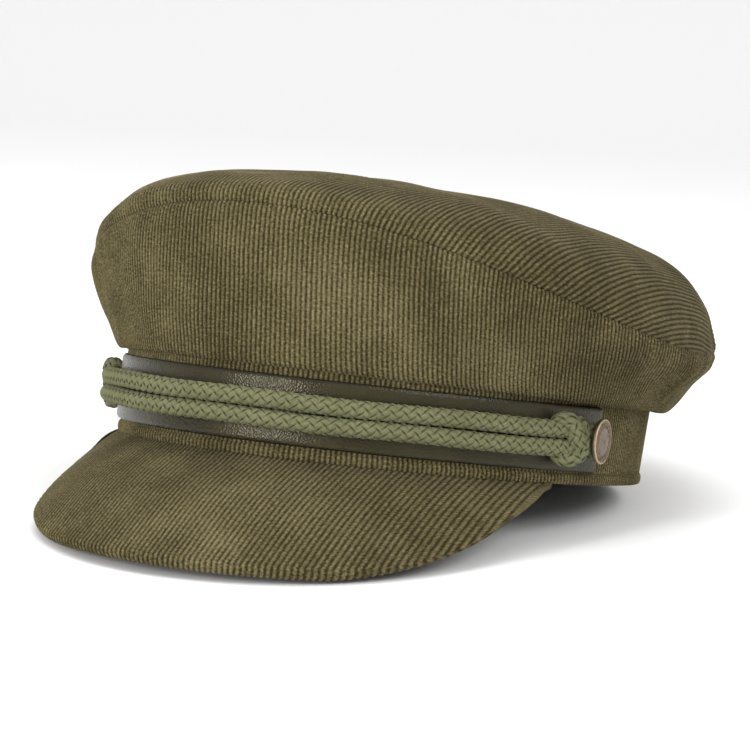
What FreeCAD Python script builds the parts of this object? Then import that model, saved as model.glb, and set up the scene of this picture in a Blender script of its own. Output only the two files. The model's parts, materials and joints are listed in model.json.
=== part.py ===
"""Soft corduroy peaked cap with a leather band strip and two braided cords on studs.

The cap is drawn upright on its own oval head band and then set down as it rests on a
table, on the peak's edge and the back of the band.  Millimetres; -Y is the front,
+X the wearer's left, +Z up; the origin is the middle of the resting cap's footprint.
"""
import FreeCAD
import Part

import os
from math import atan2, cos, degrees, hypot, pi, radians, sin, sqrt

Vector = FreeCAD.Vector

# ---- driving dimensions (mm, degrees) ------------------------------------------------
HEAD_HALF_WIDTH = 87.6        # half width and half length of the outer face of the band
HEAD_HALF_LENGTH = 105.2
HEAD_EGG = 0.05               # how much narrower the oval is at the front than at the back
BAND_HEIGHT = 30.0
BAND_FLARE = 0.073            # outward lean of the band behind the studs
CLOTH = 1.6                   # corduroy with its fusing
LAYER_GAP = 0.25              # air between sewn layers
BUTT_GAP = 0.1                # half the gap where a ring's two ends meet at the back

HEM_HEIGHT = 3.4              # turned lower edge of the band
HEM_BULGE = 0.8
STRIP_LOW = 4.4               # leather strip on the band
STRIP_HIGH = 25.9
LEATHER = 1.4
STUD_ANGLE = 75.5             # from the front, round the oval
STRIP_PAST_STUD = 5.4         # degrees of oval from the stud to the strip's square end

CORD_DIAMETER = 5.7
CORD_SPACING = 6.1            # between the centres of the two cords
CORD_CLEARANCE = 0.6          # cord off the leather, so that the cords can swing

STUD_HEAD_RADIUS = 7.5
STUD_HEAD_THICKNESS = 1.5
STUD_STANDOFF = 7.2           # back of the stud's head above the band's cloth
SHANK_RADIUS = 1.95
EYELET_BORE = 2.0
EYELET_RADIUS = 2.5

PEAK_ANGLE = 69.1             # half the stretch of band that carries the peak
PEAK_REACH = 51.0             # forward of the band, at the middle
PEAK_DROP = 30.3              # of the upper face below the band, at the middle
PEAK_THICKNESS = 4.4          # cover, board and under cover together
PEAK_CORNERS = 0.30           # exponent of the peak's outline from above; lower is squarer
PEAK_FALL = 0.45              # exponent of its outline from the front
PEAK_CAMBER = 2.6             # rise of the peak above a flat slope

CROWN_HALF_WIDTH = 106.0      # the seam between the crown's side and its top
CROWN_HALF_LENGTH = 126.8
CROWN_SETBACK = 12.3
CROWN_SEAM_HEIGHT = 59.8
CROWN_SEAM_TILT = 7.0
CROWN_SEAM_BOW = 11.9
CROWN_TOP_HEIGHT = 93.2
CROWN_TOP_SLOPE = 0.04
CROWN_FULLNESS = 2.5          # exponent of the top panel's section
CROWN_APEX_BACK = 36.0
SIDE_SEAM_ANGLE = 122.0       # joins between the crown's front and back side panels

STAY_ANGLE = 52.0
SWEATBAND_LOW = 0.6
SWEATBAND_HIGH = 27.5

# the crown's side, as (outward, up) from its two edges: at the front and at the back
SAG_OUT = (4.0, 8.6)
SAG_DROP = (7.3, 18.9)
BELLY_OUT = (5.1, 9.5)
BELLY_RISE = (14.8, 9.9)
SHOULDER_OUT = (3.0, 8.0)
SHOULDER_DROP = (11.0, 7.9)


# ---- master surfaces -----------------------------------------------------------------
def oval(t):
    """Point of the band's outer face at its lower edge; t is 0 at the front, pi at the back."""
    return Vector(HEAD_HALF_WIDTH * sin(t) * (1 - HEAD_EGG * cos(t)), -HEAD_HALF_LENGTH * cos(t), 0)


def oval_normal(t):
    """Outward horizontal normal of the oval."""
    along_x = HEAD_HALF_WIDTH * (cos(t) - HEAD_EGG * cos(2 * t))
    return Vector(HEAD_HALF_LENGTH * sin(t), -along_x, 0).normalize()


def flare(t, z):
    """Outward lean of the band, which starts near the studs."""
    ramp = min(max((abs(t) - 1.0) / 1.4, 0), 1)
    return BAND_FLARE * z * ramp * ramp * (3 - 2 * ramp)


def band_point(t, z, offset=0.0):
    """Point at height z, offset outward from the band's cloth face."""
    return oval(t) + oval_normal(t) * (offset + flare(t, z)) + Vector(0, 0, z)


def front_back(pair, t):
    """Blend a (front, back) pair of sizes round the oval."""
    share = (1 + cos(t)) / 2
    return pair[0] * share + pair[1] * (1 - share)


def crown_seam(t):
    """The seam between the crown's side and its top panel."""
    height = CROWN_SEAM_HEIGHT + CROWN_SEAM_TILT * cos(t) + CROWN_SEAM_BOW * cos(2 * t)
    return Vector(CROWN_HALF_WIDTH * sin(t), CROWN_SETBACK - CROWN_HALF_LENGTH * cos(t), height)


def crown_side(t, v):
    """Outer face of the crown's side, from the band (v = 0) to the top seam (v = 1)."""
    out = oval_normal(t)
    up = Vector(0, 0, 1)
    foot = band_point(t, BAND_HEIGHT, LAYER_GAP)
    head = crown_seam(t)
    points = [foot,
              foot + out * front_back(SAG_OUT, t) - up * front_back(SAG_DROP, t),
              foot + out * front_back(BELLY_OUT, t) + up * front_back(BELLY_RISE, t),
              head + out * front_back(SHOULDER_OUT, t) - up * front_back(SHOULDER_DROP, t),
              head]
    weights = [(1 - v) ** 4, 4 * v * (1 - v) ** 3, 6 * (v * (1 - v)) ** 2, 4 * (1 - v) * v ** 3, v ** 4]
    total = Vector(0, 0, 0)
    for point, weight in zip(points, weights):
        total = total + point * weight
    return total


def crown_top(t, r):
    """Outer face of the top panel; r is 1 at the seam and 0 in the middle."""
    seam = crown_seam(t) + Vector(0, 0, LAYER_GAP)
    x = r * seam.x
    y = r * seam.y + (1 - r) * CROWN_APEX_BACK
    dome = CROWN_TOP_HEIGHT - CROWN_TOP_SLOPE * y
    rise = max(1 - r ** CROWN_FULLNESS, 0) ** (1 / CROWN_FULLNESS)
    return Vector(x, y, seam.z + (dome - seam.z) * rise)


def peak_surface(angle, w):
    """Upper face of the peak, from the band (w = 0) to its outer edge (w = 1)."""
    share = sin(angle)
    reach = PEAK_REACH * (1 - abs(share) ** (2 / PEAK_CORNERS)) ** PEAK_CORNERS
    fall = (1 - abs(share) ** (2 / PEAK_FALL)) ** PEAK_FALL
    root = oval(radians(PEAK_ANGLE) * share) + Vector(0, 0, -LAYER_GAP)
    return root + Vector(0, -reach * w, fall * (PEAK_CAMBER * sin(pi * w) - PEAK_DROP * w))


def outward(surface, a, b, low, high):
    """Unit normal of surface(a, b), on the side that faces out of the cap."""
    step = 1e-3
    b0 = max(b - step, low)
    b1 = min(b + step, high)
    across = surface(a + step, b) - surface(a - step, b)
    along = surface(a, b1) - surface(a, b0)
    return across.cross(along).normalize()


# ---- solids from surfaces ------------------------------------------------------------
def spread(start, stop, count):
    return [start + (stop - start) * i / (count - 1) for i in range(count)]


def closed_solid(faces):
    shell = Part.makeShell(faces)
    shell.sewShape()
    solid = Part.makeSolid(Part.Shell(shell.Faces))
    if solid.Volume < 0:
        solid.reverse()
    if not solid.isValid():
        raise ValueError("a sheet did not close")
    return solid


def clamped_knots(count, degree):
    """Evenly spaced knots, and their multiplicities, for a curve that meets its end poles."""
    inner = count - degree - 1
    return [float(i) for i in range(inner + 2)], [degree + 1] + [1] * inner + [degree + 1]


def smooth_face(rows):
    """Smooth B-spline surface that has a grid of points as its control net."""
    u_degree = min(3, len(rows) - 1)
    v_degree = min(3, len(rows[0]) - 1)
    u_knots, u_mults = clamped_knots(len(rows), u_degree)
    v_knots, v_mults = clamped_knots(len(rows[0]), v_degree)
    surface = Part.BSplineSurface()
    surface.buildFromPolesMultsKnots(rows, u_mults, v_mults, u_knots, v_knots,
                                     False, False, u_degree, v_degree)
    return surface


def sheet(outer_rows, inner_rows):
    """Closed solid between two grids of points that have the same size."""
    faces = []
    edges = []
    for rows in (outer_rows, inner_rows):
        surface = smooth_face(rows)
        u0, u1, v0, v1 = surface.bounds()
        faces.append(surface.toShape())
        borders = [surface.uIso(u0), surface.uIso(u1), surface.vIso(v0), surface.vIso(v1)]
        edges.append([border.toShape() for border in borders])
    for outer_edge, inner_edge in zip(*edges):
        faces.append(Part.makeRuledSurface(outer_edge, inner_edge, 1))
    return closed_solid(faces)


def layer(surface, across, along, depths, limits=(0.0, 1.0)):
    """Sheet that follows a surface between two depths below its outer face."""
    def rows(depth):
        return [[surface(a, b) - outward(surface, a, b, *limits) * depth for b in along] for a in across]
    return sheet(rows(depths[0]), rows(depths[1]))


def band_layer(half_angle, heights, outer, inner, count=49):
    """Upright sheet round the band; outer and inner give its offsets at a height."""
    across = spread(-half_angle, half_angle, count)

    def rows(offset):
        return [[band_point(t, z, offset(z)) for z in heights] for t in across]
    return sheet(rows(outer), rows(inner))


def full_ring():
    """Half angle of a ring whose ends meet at the centre back."""
    return pi - BUTT_GAP / HEAD_HALF_WIDTH


def constant(value):
    return lambda z: value


# ---- band ----------------------------------------------------------------------------
def hem_offset(z):
    """Rounded turned edge: a half wave of bulge over the hem, flush above it."""
    if z >= HEM_HEIGHT:
        return 0.0
    return HEM_BULGE * sqrt(max(sin(pi * (z + 0.35) / (HEM_HEIGHT + 0.35)), 0))


STIFFENER = (-CLOTH - LAYER_GAP, -CLOTH - LAYER_GAP - 0.8)
WASHER = (STIFFENER[1] - 0.35, STIFFENER[1] - 0.85)
SWEATBAND = (-5.4, -6.4)
TAPE = (SWEATBAND[1] - 0.2, SWEATBAND[1] - 0.7)
CLENCH = (-4.15, -4.5)        # the shank's spread end behind the washer
CLENCH_RADIUS = 2.55


def stud_centre(side):
    """Where the stud's axis meets the band's cloth face."""
    return band_point(side * radians(STUD_ANGLE), (STRIP_LOW + STRIP_HIGH) / 2)


def across_cap(side, start, stop, radius):
    """Cylinder on the stud's axis, which lies across the cap, between two offsets."""
    base = stud_centre(side) + Vector(side * start, 0, 0)
    return Part.makeCylinder(radius, stop - start, base, Vector(side, 0, 0))


def along_normal(side, start, stop, radius):
    """Cylinder through the stud's place that stands square on the band."""
    normal = oval_normal(side * radians(STUD_ANGLE))
    return Part.makeCylinder(radius, stop - start, stud_centre(side) + normal * start, normal)


def pierced(shape):
    """Cut the two stud holes."""
    for side in (-1, 1):
        shape = shape.cut(across_cap(side, -9, 9, EYELET_RADIUS + 0.05))
    return shape.Solids[0]


def outer_band():
    heights = [0, 0.2, 0.7, 1.5, 2.3, 2.9, 3.3, HEM_HEIGHT, 3.6, 4.5, 8, 14, 20, 26, BAND_HEIGHT]
    return pierced(band_layer(full_ring(), heights, hem_offset, constant(-CLOTH), 61))


def band_stiffener():
    return pierced(band_layer(full_ring(), spread(2, 27.8, 4), constant(STIFFENER[0]), constant(STIFFENER[1])))


def sweatband():
    heights = spread(SWEATBAND_LOW, SWEATBAND_HIGH, 4)
    return band_layer(full_ring(), heights, constant(SWEATBAND[0]), constant(SWEATBAND[1]))


def sweatband_tape():
    return band_layer(full_ring(), spread(0.8, 6.8, 3), constant(TAPE[0]), constant(TAPE[1]))


def leather_strip():
    half_angle = radians(STUD_ANGLE + STRIP_PAST_STUD)
    heights = spread(STRIP_LOW, STRIP_HIGH, 5)
    return pierced(band_layer(half_angle, heights, constant(LAYER_GAP + LEATHER), constant(LAYER_GAP), 41))


# ---- studs and their eyelets ---------------------------------------------------------
def eyelet(side):
    """Sleeve across the cap with a flange that lies on the leather."""
    face = LAYER_GAP + LEATHER
    body = along_normal(side, face + 0.1, face + 0.6, 4.0)
    body = body.fuse(across_cap(side, WASHER[1], face + 0.5, EYELET_RADIUS))
    body = body.cut(across_cap(side, -9, 9, EYELET_BORE))
    return body.Solids[0]


def stud_washer(side):
    """Flat washer behind the stiffener."""
    washer = along_normal(side, WASHER[1], WASHER[0], 4.5)
    return washer.cut(across_cap(side, -9, 9, EYELET_RADIUS + 0.05)).Solids[0]


def stud(side):
    """Head with a raised rim and a dished ring, on a shank clenched behind the washer."""
    front = STUD_STANDOFF + STUD_HEAD_THICKNESS
    body = across_cap(side, STUD_STANDOFF, front, STUD_HEAD_RADIUS)
    ring = across_cap(side, front - 0.35, front + 1, STUD_HEAD_RADIUS - 0.8)
    ring = ring.cut(across_cap(side, front - 1, front + 1, STUD_HEAD_RADIUS * 0.6))
    body = body.cut(ring)
    body = body.fuse(across_cap(side, CLENCH[1], STUD_STANDOFF + 0.2, SHANK_RADIUS))
    return body.fuse(across_cap(side, CLENCH[1], CLENCH[0], CLENCH_RADIUS)).removeSplitter().Solids[0]


# ---- cords ---------------------------------------------------------------------------
CORD_OFFSET = LAYER_GAP + LEATHER + CORD_CLEARANCE + CORD_DIAMETER / 2
CORD_MIDDLE = (STRIP_LOW + STRIP_HIGH) / 2
KNOT_AHEAD = 12.6             # of the stud's centre
KNOT_HALF = (5.9, 8.0, 3.9)   # along the band, up, outward
LOOP_RADIUS = 4.55
LOOP_WIRE = 1.7
LOOP_OFFSET = 5.3


def knot_angle():
    """Angle of the knots' centres, which lie ahead of the studs."""
    return radians(STUD_ANGLE) - KNOT_AHEAD / HEAD_HALF_LENGTH


def cord(rise):
    """Round cord along the band, which ends against the two knots."""
    end = knot_angle() - 0.02
    rings = []
    for t in spread(-end, end, 25):
        centre = band_point(t, CORD_MIDDLE + rise, CORD_OFFSET)
        ahead = Vector(0, 0, 1).cross(oval_normal(t))
        rings.append(Part.Wire(Part.makeCircle(CORD_DIAMETER / 2, centre, ahead)))
    run = Part.makeLoft(rings, True, False)
    for side in (-1, 1):
        run = run.cut(cord_knot(side, 0.15))
    return max(run.Solids, key=lambda solid: solid.Volume)


def cord_knot(side, margin=0.0):
    """The knot's outer form: a rounded lump a little taller than the two cords."""
    t = side * knot_angle()
    normal = oval_normal(t)
    tangent = Vector(0, 0, 1).cross(normal)
    centre = band_point(t, CORD_MIDDLE, LAYER_GAP + LEATHER + CORD_CLEARANCE + KNOT_HALF[2])
    length, height, depth = [half + margin for half in KNOT_HALF]
    place = FreeCAD.Matrix(tangent.x * length, 0, normal.x * depth, centre.x,
                           tangent.y * length, 0, normal.y * depth, centre.y,
                           0, height, 0, centre.z,
                           0, 0, 0, 1)
    return Part.makeSphere(1.0).transformGeometry(place).Solids[0]


def cord_loop(side):
    """The cord's turn round the stud's shank."""
    centre = stud_centre(side) + Vector(side * LOOP_OFFSET, 0, 0)
    return Part.makeTorus(LOOP_RADIUS, LOOP_WIRE, centre, Vector(side, 0, 0))


# ---- peak ----------------------------------------------------------------------------
PEAK_LAYING = Vector(0, 0.3, -0.95)   # the way down from layer to layer


def peak_layer(top, bottom, reach=1.0):
    """Sheet of the peak between two depths under its upper face, short of a point at its ends."""
    def rows(depth):
        return [[peak_surface(a, w) + PEAK_LAYING * depth for w in spread(0, reach, 6)]
                for a in spread(-radians(88), radians(88), 41)]
    return sheet(rows(top), rows(bottom))


def peak_binding():
    """Bias strip over the peak's root, behind the band's lower edge."""
    def rows(offset):
        return [[band_point(t, z, offset) for z in (-4.7, -2.5, -0.35)]
                for t in spread(-radians(66), radians(66), 25)]
    return sheet(rows(-1.7), rows(-2.2))


# ---- crown ---------------------------------------------------------------------------
def side_panel(start, stop, count):
    across = spread(radians(start), radians(stop), count)
    return layer(crown_side, across, spread(0, 1, 19), (0, CLOTH))


def square_to_disc(a, b):
    """Map a point of the square to (angle, radius) on the disc, dense near the rim."""
    p = sin(a)
    q = sin(b)
    x = p * sqrt(1 - q * q / 2)
    y = q * sqrt(1 - p * p / 2)
    return atan2(x, -y), min(hypot(x, y), 1.0)


def crown_top_layer(shallow, deep, scale=1.0):
    """Domed sheet under the top panel's outer face; scale below 1 draws a smaller disc."""
    def point(a, b, depth):
        t, r = square_to_disc(a, b)
        r = r * scale
        if r < 0.02:
            return crown_top(t, r) - Vector(0, 0, depth)
        normal = outward(lambda s, u: crown_top(s, 1 - u), t, 1 - r, 0.0, 1.0)
        return crown_top(t, r) - normal * depth

    def rows(depth):
        steps = spread(-pi / 2, pi / 2, 29)
        return [[point(a, b, depth) for b in steps] for a in steps]
    return sheet(rows(shallow), rows(deep))


def crown_seam_tape():
    across = spread(-full_ring(), full_ring(), 61)
    return layer(crown_side, across, spread(0.86, 0.995, 4), (CLOTH + LAYER_GAP, CLOTH + 2.4 * LAYER_GAP))


def crown_front_stay():
    across = spread(-radians(STAY_ANGLE), radians(STAY_ANGLE), 25)
    return layer(crown_side, across, spread(0.5, 0.83, 5), (CLOTH + LAYER_GAP, CLOTH + LAYER_GAP + 0.7))


LINING = 0.5
LINING_TOP_DEPTH = 5.5
LINING_TOP_SCALE = 0.92


def lining_side():
    """Loose lining wall, from behind the sweatband up to the rim of the lining's top disc."""
    def wall(t, v, offset):
        foot = band_point(t, SWEATBAND_HIGH + 0.8, SWEATBAND[0] + 0.6 - offset)
        rim = crown_top(t, LINING_TOP_SCALE)
        head = rim - oval_normal(t) * (LINING_TOP_DEPTH + offset) - Vector(0, 0, LINING_TOP_DEPTH)
        return foot * (1 - v) + head * v + oval_normal(t) * (2.5 * sin(pi * v))

    def rows(offset):
        return [[wall(t, v, offset) for v in spread(0, 1, 5)] for t in spread(-full_ring(), full_ring(), 61)]
    return sheet(rows(0), rows(LINING))


def lining_label():
    """Blank woven label on the lining's top disc."""
    def rows(depth):
        return [[Vector(x, y, CROWN_TOP_HEIGHT - CROWN_TOP_SLOPE * y - LINING_TOP_DEPTH - LINING - depth)
                 for y in spread(CROWN_APEX_BACK - 14, CROWN_APEX_BACK + 14, 3)] for x in spread(-24, 24, 3)]
    return sheet(rows(1.1), rows(1.5))


# ---- assembly ------------------------------------------------------------------------
def build():
    """Every piece in the band's own frame, by node name."""
    nodes = {
        "crown_top_panel": crown_top_layer(0, CLOTH),
        "crown_side_front": side_panel(-SIDE_SEAM_ANGLE, SIDE_SEAM_ANGLE, 45),
        "crown_side_back_left": side_panel(SIDE_SEAM_ANGLE + 0.1, 180 - 0.06, 15),
        "crown_side_back_right": side_panel(-180 + 0.06, -SIDE_SEAM_ANGLE - 0.1, 15),
        "crown_seam_tape": crown_seam_tape(),
        "crown_front_stay": crown_front_stay(),
        "lining_top": crown_top_layer(LINING_TOP_DEPTH, LINING_TOP_DEPTH + LINING, LINING_TOP_SCALE),
        "lining_side": lining_side(),
        "lining_label": lining_label(),
        "outer_band": outer_band(),
        "band_stiffener": band_stiffener(),
        "sweatband": sweatband(),
        "sweatband_tape": sweatband_tape(),
        "leather_strip": leather_strip(),
        "peak_top_cover": peak_layer(0, 1.2),
        "peak_board": peak_layer(1.4, PEAK_THICKNESS - 1.2, 0.985),
        "peak_under_cover": peak_layer(PEAK_THICKNESS - 1.0, PEAK_THICKNESS),
        "peak_binding": peak_binding(),
        "cord_upper": cord(CORD_SPACING / 2),
        "cord_lower": cord(-CORD_SPACING / 2),
    }
    for name, side in (("left", 1), ("right", -1)):
        nodes["stud_" + name] = stud(side)
        nodes["eyelet_" + name] = eyelet(side)
        nodes["stud_washer_" + name] = stud_washer(side)
        nodes["cord_knot_" + name] = cord_knot(side)
        nodes["cord_loop_" + name] = cord_loop(side)
    return nodes


def resting_lean():
    """Angle at which the peak's edge and the back of the band stand on one plane."""
    edge = [peak_surface(radians(a), 1) + PEAK_LAYING * PEAK_THICKNESS for a in range(0, 86, 5)]
    return max(atan2(-point.z, HEAD_HALF_LENGTH - point.y) for point in edge)


def set_down(nodes):
    """Lean the cap back until it stands on its peak and band, over the origin."""
    lean = resting_lean()
    for shape in nodes.values():
        shape.rotate(Vector(0, 0, 0), Vector(1, 0, 0), -degrees(lean))
    box = Part.makeCompound(list(nodes.values())).optimalBoundingBox(True, False)
    shift = Vector(-box.Center.x, -box.Center.y, -box.ZMin)
    for shape in nodes.values():
        shape.translate(shift)
    print("lean", round(degrees(lean), 4), "shift", shift)
    print("size", round(box.XLength, 2), round(box.YLength, 2), round(box.ZLength, 2))


os.makedirs("parts", exist_ok=True)
cap = build()
set_down(cap)
for node, shape in cap.items():
    shape.exportStep("parts/" + node + ".step")
    print(node, "volume", round(shape.Volume), "valid", shape.isValid())
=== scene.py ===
"""Corduroy peaked cap: the visible pieces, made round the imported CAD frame.

Shapes are worked out in millimetres in the band's own upright lay (-Y front, +Z up) and are
then leaned back and set down with the frame's own angle and place.
"""

import json
from math import atan2, ceil, cos, pi, radians, sin

import bpy
import numpy as np
from mathutils import Matrix, Vector


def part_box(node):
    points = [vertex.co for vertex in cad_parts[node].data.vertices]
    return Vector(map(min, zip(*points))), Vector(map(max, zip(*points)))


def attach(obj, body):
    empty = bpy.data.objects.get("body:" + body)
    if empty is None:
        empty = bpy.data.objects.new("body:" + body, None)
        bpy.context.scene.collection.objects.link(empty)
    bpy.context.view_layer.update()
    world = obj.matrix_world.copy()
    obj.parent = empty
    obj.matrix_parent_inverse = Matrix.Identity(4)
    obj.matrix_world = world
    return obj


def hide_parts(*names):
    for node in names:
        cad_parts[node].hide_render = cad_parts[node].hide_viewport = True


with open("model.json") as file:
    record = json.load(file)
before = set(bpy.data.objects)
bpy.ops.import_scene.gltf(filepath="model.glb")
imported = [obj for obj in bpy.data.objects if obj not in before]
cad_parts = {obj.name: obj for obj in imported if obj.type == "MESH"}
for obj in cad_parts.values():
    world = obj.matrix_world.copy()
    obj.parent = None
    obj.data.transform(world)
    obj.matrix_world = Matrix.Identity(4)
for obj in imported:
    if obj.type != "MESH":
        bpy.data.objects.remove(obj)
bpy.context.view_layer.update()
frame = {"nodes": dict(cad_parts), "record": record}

MM = 0.001

# ---- driving dimensions of the cap (mm, degrees) -------------------------------------
HEAD_HALF_WIDTH = 87.6
HEAD_HALF_LENGTH = 105.2
HEAD_EGG = 0.05
BAND_HEIGHT = 30.0
BAND_FLARE = 0.073
CLOTH = 1.6
LAYER_GAP = 0.25
HEM_HEIGHT = 3.4
HEM_BULGE = 0.8
STRIP_LOW = 4.4
STRIP_HIGH = 25.9
LEATHER = 1.4
STUD_ANGLE = 75.5
STRIP_PAST_STUD = 5.4
CORD_RADIUS = 2.85
CORD_SPACING = 6.1
CORD_OFFSET = 5.1
CORD_MIDDLE = (STRIP_LOW + STRIP_HIGH) / 2
STUD_HEAD_RADIUS = 7.5
STUD_STANDOFF = 7.2
PEAK_ANGLE = 69.1
PEAK_REACH = 51.0
PEAK_DROP = 30.3
PEAK_THICKNESS = 4.4
PEAK_CORNERS = 0.30
PEAK_FALL = 0.45
PEAK_CAMBER = 2.6
CROWN_HALF_WIDTH = 106.0
CROWN_HALF_LENGTH = 126.8
CROWN_SETBACK = 12.3
CROWN_SEAM_HEIGHT = 59.8
CROWN_SEAM_TILT = 7.0
CROWN_SEAM_BOW = 11.9
CROWN_TOP_HEIGHT = 93.2
CROWN_TOP_SLOPE = 0.04
CROWN_FULLNESS = 2.5
CROWN_APEX_BACK = 36.0
SIDE_SEAM_ANGLE = 122.0
SWEATBAND_LOW = 0.6
SWEATBAND_HIGH = 27.5
SWEATBAND_OUT = -5.4
SAG_OUT = (4.0, 8.6)
SAG_DROP = (7.3, 18.9)
BELLY_OUT = (5.1, 9.5)
BELLY_RISE = (14.8, 9.9)
SHOULDER_OUT = (3.0, 8.0)
SHOULDER_DROP = (11.0, 7.9)
LINING_DEPTH = 5.5
LINING_SCALE = 0.92

# ---- corduroy ------------------------------------------------------------------------
WALE = 1.64                   # from rib to rib
WALE_STEPS = 6                # columns of vertices across one rib
RIB_HEIGHT = 0.40
RIB_ROUNDNESS = 0.6

UP = np.array([0.0, 0.0, 1.0])


# ---- master surfaces, for arrays of angles -------------------------------------------
def stack(x, y, z):
    """Points from arrays of coordinates."""
    return np.stack(np.broadcast_arrays(x, y, z), -1).astype(float)


def unit(v):
    return v / np.maximum(np.linalg.norm(v, axis=-1, keepdims=True), 1e-9)


def oval(t):
    """Lower edge of the band's face; t is 0 at the front and pi at the back."""
    x = HEAD_HALF_WIDTH * np.sin(t) * (1 - HEAD_EGG * np.cos(t))
    return stack(x, -HEAD_HALF_LENGTH * np.cos(t), 0.0)


def oval_normal(t):
    """Outward horizontal normal of the oval."""
    along_x = HEAD_HALF_WIDTH * (np.cos(t) - HEAD_EGG * np.cos(2 * t))
    return unit(stack(HEAD_HALF_LENGTH * np.sin(t), -along_x, 0.0))


def smooth(x):
    """Eased step from 0 to 1."""
    x = np.clip(x, 0, 1)
    return x * x * (3 - 2 * x)


def band_point(t, z, offset=0.0):
    """Point at height z, offset outward from the band's cloth face."""
    t, z, offset = np.broadcast_arrays(t, z, offset)
    lean = BAND_FLARE * z * smooth((np.abs(t) - 1.0) / 1.4)
    return oval(t) + oval_normal(t) * (offset + lean)[..., None] + stack(0.0, 0.0, z)


def front_back(pair, t):
    """Blend a (front, back) pair of sizes round the oval."""
    share = (1 + np.cos(t)) / 2
    return (pair[0] * share + pair[1] * (1 - share))[..., None]


def crown_seam(t):
    """Seam between the crown's side and its top panel."""
    z = CROWN_SEAM_HEIGHT + CROWN_SEAM_TILT * np.cos(t) + CROWN_SEAM_BOW * np.cos(2 * t)
    return stack(CROWN_HALF_WIDTH * np.sin(t), CROWN_SETBACK - CROWN_HALF_LENGTH * np.cos(t), z)


def crown_side(t, v):
    """Crown's side from the band (v = 0) to the top seam (v = 1)."""
    t, v = np.broadcast_arrays(t, v)
    out = oval_normal(t)
    foot = band_point(t, BAND_HEIGHT, LAYER_GAP)
    head = crown_seam(t)
    sag = foot + out * front_back(SAG_OUT, t) - UP * front_back(SAG_DROP, t)
    belly = foot + out * front_back(BELLY_OUT, t) + UP * front_back(BELLY_RISE, t)
    shoulder = head + out * front_back(SHOULDER_OUT, t) - UP * front_back(SHOULDER_DROP, t)
    v = v[..., None]
    return (foot * (1 - v) ** 4 + sag * 4 * v * (1 - v) ** 3 + belly * 6 * (v - v * v) ** 2
            + shoulder * 4 * (1 - v) * v ** 3 + head * v ** 4)


def crown_top(t, r):
    """Top panel from its middle (r = 0) to the seam (r = 1)."""
    t, r = np.broadcast_arrays(t, r)
    seam = crown_seam(t) + UP * LAYER_GAP
    x = r * seam[..., 0]
    y = r * seam[..., 1] + (1 - r) * CROWN_APEX_BACK
    dome = CROWN_TOP_HEIGHT - CROWN_TOP_SLOPE * y
    rise = np.maximum(1 - r ** CROWN_FULLNESS, 0) ** (1 / CROWN_FULLNESS)
    return stack(x, y, seam[..., 2] + (dome - seam[..., 2]) * rise)


class FlatTop:
    """The top panel rolled out flat, so that ribs keep their spacing over its shoulder."""

    def __init__(self, count=1441, steps=241):
        self.t = np.linspace(-pi, pi, count)
        r = 1 - (1 - np.linspace(0, 1, steps)) ** 2
        points = crown_top(self.t[:, None], r[None, :])
        run = along_length(points)
        self.reach = run[:, -1]
        self.share = np.linspace(0, 1, steps)
        self.r = np.stack([np.interp(self.share, row / row[-1], r) for row in run])
        rim = crown_seam(self.t)
        self.heading = np.unwrap(np.arctan2(rim[:, 0], CROWN_APEX_BACK - rim[:, 1]))
        self.x = self.reach * np.sin(self.heading)
        self.y = -self.reach * np.cos(self.heading)

    def outline(self, x):
        """Front and back ends of the rib line at x."""
        right = np.argmax(self.x)
        left = np.argmin(self.x)
        front = np.interp(x, self.x[left:right + 1], self.y[left:right + 1])
        behind = np.concatenate([np.stack([self.x[:left + 1], self.y[:left + 1]], -1),
                                 np.stack([self.x[right:], self.y[right:]], -1)])
        behind = behind[np.argsort(behind[:, 0])]
        return front, np.interp(x, behind[:, 0], behind[:, 1])

    def lift(self, x, y):
        """(t, r) on the panel of a point of the flat cloth."""
        heading = np.arctan2(x, -y)
        column = np.interp(heading, self.heading, np.arange(len(self.t)))
        low = np.clip(np.floor(column).astype(int), 0, len(self.t) - 2)
        part = column - low
        reach = self.reach[low] * (1 - part) + self.reach[low + 1] * part
        at = np.clip(np.hypot(x, y) / reach, 0, 1) * (len(self.share) - 1)
        step = np.clip(np.floor(at).astype(int), 0, len(self.share) - 2)
        rest = at - step
        r = ((self.r[low, step] * (1 - rest) + self.r[low, step + 1] * rest) * (1 - part)
             + (self.r[low + 1, step] * (1 - rest) + self.r[low + 1, step + 1] * rest) * part)
        t = self.t[low] * (1 - part) + self.t[low + 1] * part
        return t, r


def along_length(points):
    """Length run along each row of a grid."""
    step = np.linalg.norm(np.diff(points, axis=1), axis=-1)
    return np.concatenate([np.zeros((len(points), 1)), np.cumsum(step, 1)], 1)


def peak_surface(x, w):
    """Upper face of the peak at a distance x from the middle, and w from band to edge."""
    x, w = np.broadcast_arrays(x, w)
    t_table = np.linspace(-radians(PEAK_ANGLE), radians(PEAK_ANGLE), 2001)
    t = np.interp(x, oval(t_table)[:, 0], t_table)
    share = np.abs(t / radians(PEAK_ANGLE))
    reach = PEAK_REACH * np.maximum(1 - share ** (2 / PEAK_CORNERS), 0) ** PEAK_CORNERS
    fall = np.maximum(1 - share ** (2 / PEAK_FALL), 0) ** PEAK_FALL
    root = oval(t)
    z = -LAYER_GAP + fall * (PEAK_CAMBER * np.sin(pi * w) - PEAK_DROP * w)
    return stack(root[..., 0], root[..., 1] - reach * w, z)


# ---- lay of the whole cap ------------------------------------------------------------
MOUTH_AXIS = frame["record"]["mounts"][0]["axis"]
LEAN = atan2(-MOUTH_AXIS[1], -MOUTH_AXIS[2])
LEANED = np.array([[1, 0, 0], [0, cos(LEAN), sin(LEAN)], [0, -sin(LEAN), cos(LEAN)]])


def stud_foot(side):
    return band_point(side * radians(STUD_ANGLE), CORD_MIDDLE)


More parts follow.
